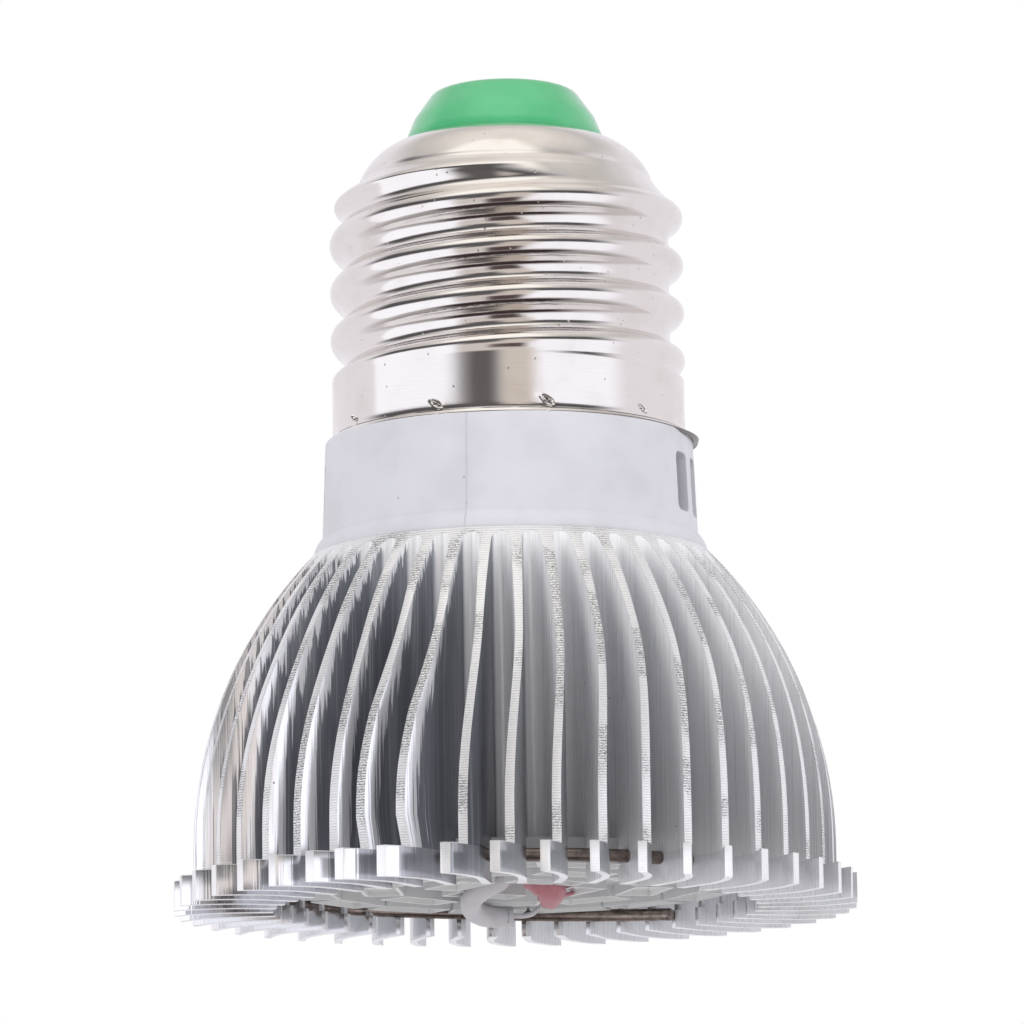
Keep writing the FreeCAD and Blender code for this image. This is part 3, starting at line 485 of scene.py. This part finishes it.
def bendFins(bm):                    # two fins at the left are pushed sideways
    levels, turns = bentFins["levels"], bentFins["turns"]
    for cut in levels[1:]:
        faces = [face for face in bm.faces if any(bendShare(vert) > 0 for vert in face.verts)]
        edges = {edge for face in faces for edge in face.edges}
        verts = {vert for face in faces for vert in face.verts}
        bmesh.ops.bisect_plane(bm, geom=[*faces, *edges, *verts], dist=0.001 * mm,
                               plane_co=(0, 0, cut * mm), plane_no=(0, 0, 1))
    rest = bm.verts.layers.float_vector.new("rest")
    for vert in bm.verts:
        vert[rest] = vert.co
    for vert in bm.verts:
        share = bendShare(vert)
        level = vert.co.z / mm
        if share == 0 or level > levels[-1]:
            continue
        step = max(number for number, low in enumerate(levels[:-1]) if level >= low - 0.01)
        part = (level - levels[step]) / (levels[step + 1] - levels[step])
        turn = turns[step] + (turns[step + 1] - turns[step]) * part
        vert.co.rotate(Matrix.Rotation(math.radians(turn * share), 3, "Z"))


softSizes = {
    "mergeWithin": 0.002,
    "flatWithin": 0.4,
    "sharpAbove": 32,
    "heat_sink": {"width": 0.035, "segments": 2},
    "collar_housing": {"width": 0.12, "segments": 3},
    "cap_insulator": {"width": 0.15, "segments": 3},
}


def softened(name, look, shape=None):      # the CAD node with its edges broken
    s = softSizes
    sharpAngle = math.radians(s["sharpAbove"])
    bm = bmesh.new()
    bm.from_mesh(nodes[name].data)
    bmesh.ops.remove_doubles(bm, verts=bm.verts, dist=s["mergeWithin"] * mm)
    bmesh.ops.dissolve_limit(bm, angle_limit=math.radians(s["flatWithin"]), verts=bm.verts, edges=bm.edges)
    if shape:
        shape(bm)
    sharp = [edge for edge in bm.edges
             if len(edge.link_faces) == 2 and edge.calc_face_angle(0) > sharpAngle]
    bmesh.ops.bevel(bm, geom=sharp, offset=s[name]["width"] * mm, offset_type="OFFSET",
                    segments=s[name]["segments"], profile=0.5, affect="EDGES", clamp_overlap=True,
                    material=-1)
    for edge in bm.edges:
        edge.smooth = len(edge.link_faces) != 2 or edge.calc_face_angle(0) < sharpAngle
    return newPiece(name + "_softened", bm, look, [name])


capSizes = {
    "lipLevel": 34.85,
    "lipHeight": 1.1,
    "flare": (0.3, 0.72),            # all round, and more at the bent place
    "flareAzimuth": 86,
    "flareSpread": 24,
    "groove": (10.9, 54.75),         # radius and level where the thread ends
    "shoulderCurve": 5.0,
    "shoulderStart": 23,
    "edgeRadius": 7.55,
    "turnedRadius": 13,              # of the plain tube that the skirt and the thread are pressed into
    "skirtRadius": 13.1,
    "crestRadius": 13.2,
    "threadDepth": 1.1,
    "pitch": 3.629,
    "threadLevel": 39.7,
    "threadStart": 244,
    "threadBlend": 0.5,
    "taperLevel": 52.6,
    "wall": 0.3,
    "around": 264,
    "levels": 136,
    "shoulderSteps": 14,
    "stakeTop": 37.2,
    "stakeReach": 0.85,              # where the mesh is made finer
    "stakeEnd": 1.2,
    "stakeSlant": 0.55,
    "dent": {"depth": 0.40, "length": 0.36, "height": 0.17},
    "heave": {"height": 0.08, "along": 0.3, "below": 0.35, "length": 0.3, "width": 0.2},
}


def smoothStep(value, low, high):
    share = min(max((value - low) / (high - low), 0), 1)
    return share * share * (3 - 2 * share)


def bell(*offsets):                  # 1 at the centre, falling off with each offset
    return math.exp(-sum(offset * offset for offset in offsets))


def threadRadius(azimuth, level):    # round crests and roots of one radius
    c = capSizes
    arc = (c["pitch"] ** 2 / 4 + c["threadDepth"] ** 2) / (4 * c["threadDepth"])
    start = c["threadLevel"] + c["pitch"] * (azimuth - c["threadStart"]) / 360
    offset = (level - start - c["pitch"] / 4) % c["pitch"] - c["pitch"] / 2
    if abs(offset) <= c["pitch"] / 4:
        return c["crestRadius"] - arc + math.sqrt(arc ** 2 - offset ** 2)
    fromRoot = c["pitch"] / 2 - abs(offset)
    return c["crestRadius"] - c["threadDepth"] + arc - math.sqrt(arc ** 2 - fromRoot ** 2)


def shellRadius(azimuth, level):
    c = capSizes
    lip = max(c["lipLevel"] + c["lipHeight"] - level, 0) / c["lipHeight"]
    away = (azimuth - c["flareAzimuth"] + 180) % 360 - 180
    flare = c["flare"][0] + c["flare"][1] * bell(away / c["flareSpread"])
    plain = c["skirtRadius"] + flare * lip ** 4
    rolled = smoothStep(level, c["threadLevel"] - c["threadBlend"], c["threadLevel"] + c["threadBlend"])
    radius = plain * (1 - rolled) + threadRadius(azimuth, level) * rolled
    taper = smoothStep(level, c["taperLevel"], c["groove"][1])
    return radius * (1 - taper) + c["groove"][0] * taper


def shellProfile():                  # radius and level, from the lip to the inner edge of the shoulder
    c = capSizes
    start = math.radians(c["shoulderStart"])
    centreR = c["groove"][0] - c["shoulderCurve"] * math.cos(start)
    centreZ = c["groove"][1] - c["shoulderCurve"] * math.sin(start)
    end = math.acos((c["edgeRadius"] - centreR) / c["shoulderCurve"])
    profile = []
    for step in range(c["levels"] + 1):
        level = c["lipLevel"] + (c["groove"][1] - c["lipLevel"]) * step / c["levels"]
        profile.append((c["turnedRadius"], level))
    for step in range(1, c["shoulderSteps"] + 1):
        angle = start + (end - start) * step / c["shoulderSteps"]
        profile.append((centreR + c["shoulderCurve"] * math.cos(angle),
                        centreZ + c["shoulderCurve"] * math.sin(angle)))
    return profile


def stakeSpots():
    n = nickelFinish
    radius = capSizes["skirtRadius"]
    spots = []
    for step in range(n["stakeCount"]):
        angle = math.radians(n["stakeAzimuth"] + 360 * step / n["stakeCount"])
        spots.append(Vector((radius * math.sin(angle), -radius * math.cos(angle), n["stakeLevel"])) * mm)
    return spots


def stakeDepth(stake, spot):         # how far a stake pushes the shell in at a spot
    dent, heave = capSizes["dent"], capSizes["heave"]
    gap = (spot - stake) / mm
    if gap.length >= capSizes["stakeEnd"]:
        return 0
    along = Vector((-stake.y, stake.x, 0)).normalized().dot(gap)
    slope = along * capSizes["stakeSlant"] + gap.z
    pushed = dent["depth"] * bell(along / dent["length"], slope / dent["height"])
    raised = heave["height"] * bell((along - heave["along"]) / heave["length"],
                                    (gap.z + heave["below"]) / heave["width"])
    return pushed - raised


def makeCapShell():
    c = capSizes
    bm = bmesh.new()
    line = [bm.verts.new((0, -radius * mm, level * mm)) for radius, level in shellProfile()]
    edges = [bm.edges.new(pair) for pair in zip(line[:-1], line[1:])]
    bmesh.ops.spin(bm, geom=line + edges, cent=(0, 0, 0), axis=(0, 0, 1), angle=2 * math.pi,
                   steps=c["around"], use_merge=True, use_duplicate=False)
    stakes = stakeSpots()
    near = set()
    for edge in bm.edges:
        middle = (edge.verts[0].co + edge.verts[1].co) / 2
        close = any((middle - stake).length < c["stakeReach"] * mm for stake in stakes)
        if close and middle.z < c["stakeTop"] * mm:
            near.add(edge)
    bmesh.ops.subdivide_edges(bm, edges=list(near), cuts=3, use_grid_fill=True)

    for vert in bm.verts:
        level = vert.co.z / mm
        flat = Vector((vert.co.x, vert.co.y))
        if level <= c["groove"][1] + 1e-4:
            azimuth = math.degrees(math.atan2(vert.co.x, -vert.co.y)) % 360
            flat = flat.normalized() * shellRadius(azimuth, level) * mm
        for stake in stakes:
            depth = stakeDepth(stake, Vector((flat.x, flat.y, vert.co.z)))
            flat *= 1 - depth / c["skirtRadius"]
        vert.co.x, vert.co.y = flat
    bmesh.ops.recalc_face_normals(bm, faces=bm.faces)
    item = newPiece("capShell", bm, looks["nickel"], ["cap_shell"])
    wall = item.modifiers.new("wall", "SOLIDIFY")
    wall.thickness = c["wall"] * mm
    wall.offset = -1


ledSizes = {
    "rings": [(15.1, 15), (9.9, 9), (4.7, 4)],
    "firstAngle": 2.2,
    "ringTurn": 13.8,
    "length": 5.7,
    "width": 3.0,
    "height": 0.8,
    "boardLevel": 2.4,
    "frame": 0.42,
    "cup": 0.28,
    "cupWall": 0.2,
    "corner": 0.25,
    "gels": {"Red": (0.74, 0.70, 0.66), "Blue": (0.70, 0.71, 0.72), "White": (0.76, 0.74, 0.66)},
    "gelShade": 0.8,
}


def ledLooks():                      # the body first, then the three gels
    made = [plasticLook("ledBody", (0.66, 0.66, 0.67), (0.56, 0.56, 0.57), 0.3)]
    for name, colour in ledSizes["gels"].items():
        look = Look("ledGel" + name)
        fine = look.noise(look.place(), 3.0, 2.0)
        dark = tuple(ledSizes["gelShade"] * part for part in colour)
        base = look.mix(fine.step(0.3, 0.7), colour, dark)
        made.append(look.finish({"Base Color": base, "Roughness": 0.12 + fine * 0.06, "Coat Weight": 0.6,
                                 "Normal": look.bump(fine, 0.01 * mm)}))
    return made


def addLed(bm, ringRadius, angle, gel):
    s = ledSizes
    turn = Matrix.Rotation(angle + math.pi / 2, 4, "Z")
    centre = Vector((ringRadius * math.cos(angle), ringRadius * math.sin(angle),
                     s["boardLevel"] - s["height"] / 2)) * mm
    size = Matrix.Diagonal((s["length"] * mm, s["width"] * mm, s["height"] * mm, 1))
    verts = bmesh.ops.create_cube(bm, size=1, matrix=Matrix.Translation(centre) @ turn @ size)["verts"]
    faces = {face for vert in verts for face in vert.link_faces}
    below = min(faces, key=lambda face: face.calc_center_median().z)
    bmesh.ops.inset_individual(bm, faces=[below], thickness=s["frame"] * mm)
    bmesh.ops.inset_individual(bm, faces=[below], thickness=s["cupWall"] * mm, depth=-s["cup"] * mm)
    below.material_index = gel
    edges = {edge for vert in verts for edge in vert.link_edges}
    upright = [edge for edge in edges if abs((edge.verts[0].co - edge.verts[1].co).normalized().z) > 0.9]
    bmesh.ops.bevel(bm, geom=upright, offset=s["corner"] * mm, segments=3, profile=0.5, affect="EDGES",
                    material=-1)


def makeLeds():
    s = ledSizes
    bm = bmesh.new()
    names = []
    for ring, (ringRadius, count) in enumerate(s["rings"]):
        for step in range(count):
            names.append(f"led_{len(names) + 1:02d}")
            angle = math.radians(s["firstAngle"] + ring * s["ringTurn"] + step * 360 / count)
            addLed(bm, ringRadius, angle, 1 + (len(names) * 2 + ring) % len(s["gels"]))
    item = newPiece("ledPackages", bm, ledLooks(), names)
    for face in item.data.polygons:
        face.use_smooth = False


# wire and leads: each point is x, y, level and tube radius in mm

def addTube(bm, points, around=20):
    spots = [Vector(point[:3]) for point in points]
    rings = []
    for number, spot in enumerate(spots):
        before = spots[max(number - 1, 0)]
        after = spots[min(number + 1, len(spots) - 1)]
        turn = (after - before).to_track_quat("Z", "Y").to_matrix().to_4x4()
        isEnd = number in (0, len(spots) - 1)
        made = bmesh.ops.create_circle(bm, cap_ends=isEnd, segments=around, radius=points[number][3] * mm,
                                       matrix=Matrix.Translation(spot * mm) @ turn)
        edges = {edge for vert in made["verts"] for edge in vert.link_edges}
        rings.append([edge for edge in edges if all(end in made["verts"] for end in edge.verts)])
    for first, second in zip(rings[:-1], rings[1:]):
        bmesh.ops.bridge_loops(bm, edges=first + second)


def smoothed(points, steps=6):       # a curve through the points
    result = []
    for number in range(len(points) - 1):
        around = [min(max(number + shift, 0), len(points) - 1) for shift in (-1, 0, 1, 2)]
        first, start, end, last = [Vector(points[place]) for place in around]
        for step in range(steps):
            t = step / steps
            bend = 2 * first - 5 * start + 4 * end - last
            twist = 3 * start - first - 3 * end + last
            result.append(0.5 * (2 * start + (end - first) * t + bend * t ** 2 + twist * t ** 3))
    return [tuple(spot) for spot in result] + [tuple(points[-1])]


wireSizes = {
    "radius": 19.09,
    "level": 1.87,
    "thickness": 0.48,
    "freeEnd": 137,                  # azimuths
    "heldEnd": 472.5,
    "hangsFrom": 232,
    "drop": 0.92,
    "slip": 1.95,                    # how far the loose end is out of its groove
    "slipBy": 0.45,
    "steps": 130,
    "endBreak": 0.14,
}

leadPaths = {
    "white": [(-0.85, -0.55, 17.1, 0.7), (-0.85, -0.55, 9.0, 0.7), (-0.85, -0.55, 3.4, 0.72),
              (-1.05, -0.5, 2.3, 0.75), (-2.2, 0.2, 1.75, 0.78), (-3.2, 2.8, 1.25, 0.80),
              (-3.25, 6.8, 0.92, 0.80), (-2.4, 10.5, 0.83, 0.82), (-1.1, 11.9, 0.83, 0.81),
              (-0.2, 12.1, 0.86, 0.76)],
    "whiteStrand": [(-0.3, 12.1, 0.95, 0.2), (1.2, 12.3, 1.1, 0.2), (2.4, 12.42, 2.3, 0.2)],
    "red": [(0.85, -0.55, 17.1, 0.7), (0.85, -0.55, 9.0, 0.7), (0.85, -0.55, 3.6, 0.72),
            (1.15, -0.75, 2.5, 0.85), (2.0, -1.6, 1.75, 0.95), (2.6, -1.2, 1.6, 1.05),
            (2.65, 0.6, 1.38, 1.0), (2.5, 2.4, 1.12, 0.82)],
    "redStrand": [(2.8, 2.2, 1.4, 0.2), (3.9, 3.9, 1.6, 0.17), (5.3, 5.2, 2.3, 0.17)],
}

leadSizes = {
    "crumple": {"white": 0.02, "red": 0.09},
    "crumpleRise": 0.8,
    "crumpleBelow": 2.2,             # the level under which the insulation is dented
    "strandAround": 10,
    "strandFace": 0.02,              # smaller faces, in square mm, are bare strand
}


def makeSnapWire():
    w = wireSizes
    points = []
    for step in range(w["steps"] + 1):
        azimuth = w["freeEnd"] + (w["heldEnd"] - w["freeEnd"]) * step / w["steps"]
        hang = max(w["hangsFrom"] - azimuth, 0) / (w["hangsFrom"] - w["freeEnd"])
        angle = math.radians(azimuth)
        radius = w["radius"] - w["slip"] * smoothStep(hang, 0, w["slipBy"])
        points.append((radius * math.sin(angle), -radius * math.cos(angle),
                       w["level"] - w["drop"] * hang ** 2, w["thickness"]))
    bm = bmesh.new()
    addTube(bm, points)
    ends = [edge for face in bm.faces if len(face.verts) > 4 for edge in face.edges]
    bmesh.ops.bevel(bm, geom=ends, offset=w["endBreak"] * mm, segments=3, profile=0.5, affect="EDGES",
                    material=-1)
    bmesh.ops.recalc_face_normals(bm, faces=bm.faces)
    newPiece("snapWire", bm, looks["spring"], ["snap_ring"])


def makeLead(name, look, node):
    s = leadSizes
    bm = bmesh.new()
    addTube(bm, smoothed(leadPaths[name]))
    for vert in bm.verts:
        spot = vert.co / mm
        swell = math.sin(spot.x * 5.1 + spot.y * 2.3) * math.sin(spot.y * 4.3 + spot.z * 6.1)
        if spot.z < s["crumpleBelow"]:
            push = s["crumple"][name] * swell * mm
            vert.co.x += push
            vert.co.z += push * s["crumpleRise"]
    addTube(bm, smoothed(leadPaths[name + "Strand"]), s["strandAround"])
    bmesh.ops.recalc_face_normals(bm, faces=bm.faces)
    item = newPiece(name + "LeadBent", bm, [look, looks["solder"]], [node])
    for face in item.data.polygons:
        if face.area < s["strandFace"] * mm * mm and len(face.vertices) == 4:
            face.material_index = 1


softened("heat_sink", looks["bentSink"], shape=bendFins)
softened("collar_housing", looks["collar"])
softened("cap_insulator", looks["green"])
makeCapShell()
makeLeds()
makeSnapWire()
makeLead("white", looks["whiteLead"], "lead_white")
makeLead("red", looks["redLead"], "lead_red")
print("pieces made")


# studio: a pale floor well below the camera, soft light all round, white behind

studio = {
    "cameraPlace": (0, -472, -52),
    "pitch": 9.823,
    "roll": 0.0144,
    "focalPixels": 6455,
    "frame": 1024,
    "centreShift": 2,
    "sensor": 36,
    "clip": (0.01, 50),
    "diffuse": 0.57,
    "white": (1.0, 1.0, 1.0),
    "lampSize": (0.5, 0.5),
    "lampPower": 1.85,
    "lampPlaces": {"keyLeft": (-0.5, -0.5, 0.35), "keyRight": (0.55, -0.45, 0.3)},
    "lampAim": (0, 0, 0.03),
    "floorLevel": -120,
    "floorSize": 3.0,
    "floorShades": ((0.90, 0.90, 0.90), (0.93, 0.93, 0.93)),
    # the sky's shade from straight down to straight up
    "levels": [(0.06, (0.34, 0.32, 0.32)), (0.22, (0.44, 0.42, 0.42)), (0.31, (0.92, 0.90, 0.95)),
               (0.70, (0.92, 0.90, 0.95)), (0.78, (0.66, 0.64, 0.63)), (0.90, (0.98, 0.93, 0.89))],
}


def makeCamera():
    s = studio
    pitch = math.radians(s["pitch"])
    forward = Vector((0, math.cos(pitch), math.sin(pitch)))
    up = Vector((0, -math.sin(pitch), math.cos(pitch)))
    right = Vector((1, 0, 0))
    c, n = math.cos(s["roll"]), math.sin(s["roll"])
    turn = Matrix((right * c - up * n, right * n + up * c, -forward)).transposed().to_4x4()
    data = bpy.data.cameras.new("photoCamera")
    camera = bpy.data.objects.new("photoCamera", data)
    bpy.context.scene.collection.objects.link(camera)
    camera.matrix_world = Matrix.Translation(Vector(s["cameraPlace"]) * mm) @ turn
    data.sensor_width = s["sensor"]
    data.lens = s["focalPixels"] / s["frame"] * s["sensor"]
    data.shift_x = s["centreShift"] / s["frame"]
    data.clip_start, data.clip_end = s["clip"]
    bpy.context.scene.camera = camera


# what the metal mirrors, over the level's own shade: each range of degrees goes from clear to full and back
mirrored = [
    {"azimuth": (-80, -52, 22, 48), "height": (44, 53, 78, 88), "colour": (1.25, 1.22, 1.17)},
    {"azimuth": (-118, -92, 55, 88), "height": (12, 22, 36, 50), "colour": (0.105, 0.10, 0.105)},
    {"azimuth": (-100, -94, -36, -28), "height": (-44, -36, 11, 19), "colour": (1.20, 1.21, 1.30)},
    {"azimuth": (8, 20, 66, 86), "height": (-38, -30, 16, 23), "colour": (1.18, 1.19, 1.28)},
    {"azimuth": (-38, -26, 8, 20), "height": (-38, -26, 6, 11), "colour": (0.74, 0.68, 0.66)},
    {"azimuth": (-44, -20, -14, 8), "height": (4, 9, 26, 36), "colour": (0.13, 0.125, 0.125)},
    {"azimuth": (-10, 3, 10, 24), "height": (-6, 2, 24, 36), "colour": (0.74, 0.67, 0.62)},
    {"azimuth": (-15, -8, 8, 15), "height": (-46, -36, -12, -3), "colour": (0.10, 0.07, 0.07)},
    {"azimuth": (-70, -40, 45, 75), "height": (-80, -72, -48, -38), "colour": (0.05, 0.035, 0.035)},
]


def makeWorld():
    s = studio
    world = bpy.data.worlds.new("studio")
    world.use_nodes = True
    bpy.context.scene.world = world
    look = Look("studio", world.node_tree)
    x, y, z = look.split(look.node("ShaderNodeTexCoord", {}, {}, "Generated"))
    azimuth = x.math("ARCTAN2", y * -1) * (180 / math.pi)
    height = z.math("ARCSINE") * (180 / math.pi)
    shade = look.ramp(height / 180 + 0.5, s["levels"])
    for part in mirrored:
        share = within(azimuth, part["azimuth"]) * within(height, part["height"])
        shade = look.mix(share, shade, part["colour"])
    cameraRay = look.node("ShaderNodeLightPath", {}, {}, "Is Camera Ray")
    glossyRay = look.node("ShaderNodeLightPath", {}, {}, "Is Glossy Ray")
    shade = look.mix(glossyRay, (s["diffuse"],) * 3, shade)
    shade = look.mix(cameraRay, shade, s["white"])
    light = look.node("ShaderNodeBackground", {}, {"Color": shade, "Strength": 1.0})
    look.node("ShaderNodeOutputWorld", {}, {"Surface": light})


def makeLamp(name, place):
    s = studio
    data = bpy.data.lights.new(name, "AREA")
    data.shape = "RECTANGLE"
    data.size, data.size_y = s["lampSize"]
    data.energy = s["lampPower"]
    lamp = bpy.data.objects.new(name, data)
    bpy.context.scene.collection.objects.link(lamp)
    lamp.location = Vector(place)
    aim = Vector(s["lampAim"]) - lamp.location
    lamp.rotation_euler = aim.to_track_quat("-Z", "Y").to_euler()
    lamp.visible_glossy = False


def makeFloor():
    s = studio
    bm = bmesh.new()
    bmesh.ops.create_grid(bm, x_segments=1, y_segments=1, size=s["floorSize"],
                          matrix=Matrix.Translation((0, 0, s["floorLevel"] * mm)))
    mesh = bpy.data.meshes.new("floor")
    bm.to_mesh(mesh)
    bm.free()
    floor = bpy.data.objects.new("floor", mesh)
    bpy.context.scene.collection.objects.link(floor)
    look = Look("floorPaper")
    shade = look.mix(look.noise(look.place(), 0.05, 3.0), *s["floorShades"])
    mesh.materials.append(look.finish({"Base Color": shade, "Roughness": 0.8}))
    floor.visible_glossy = False


makeCamera()
makeWorld()
makeFloor()
for lampName, lampPlace in studio["lampPlaces"].items():
    makeLamp(lampName, lampPlace)
bpy.context.scene.view_settings.view_transform = "Standard"
print("studio ready")
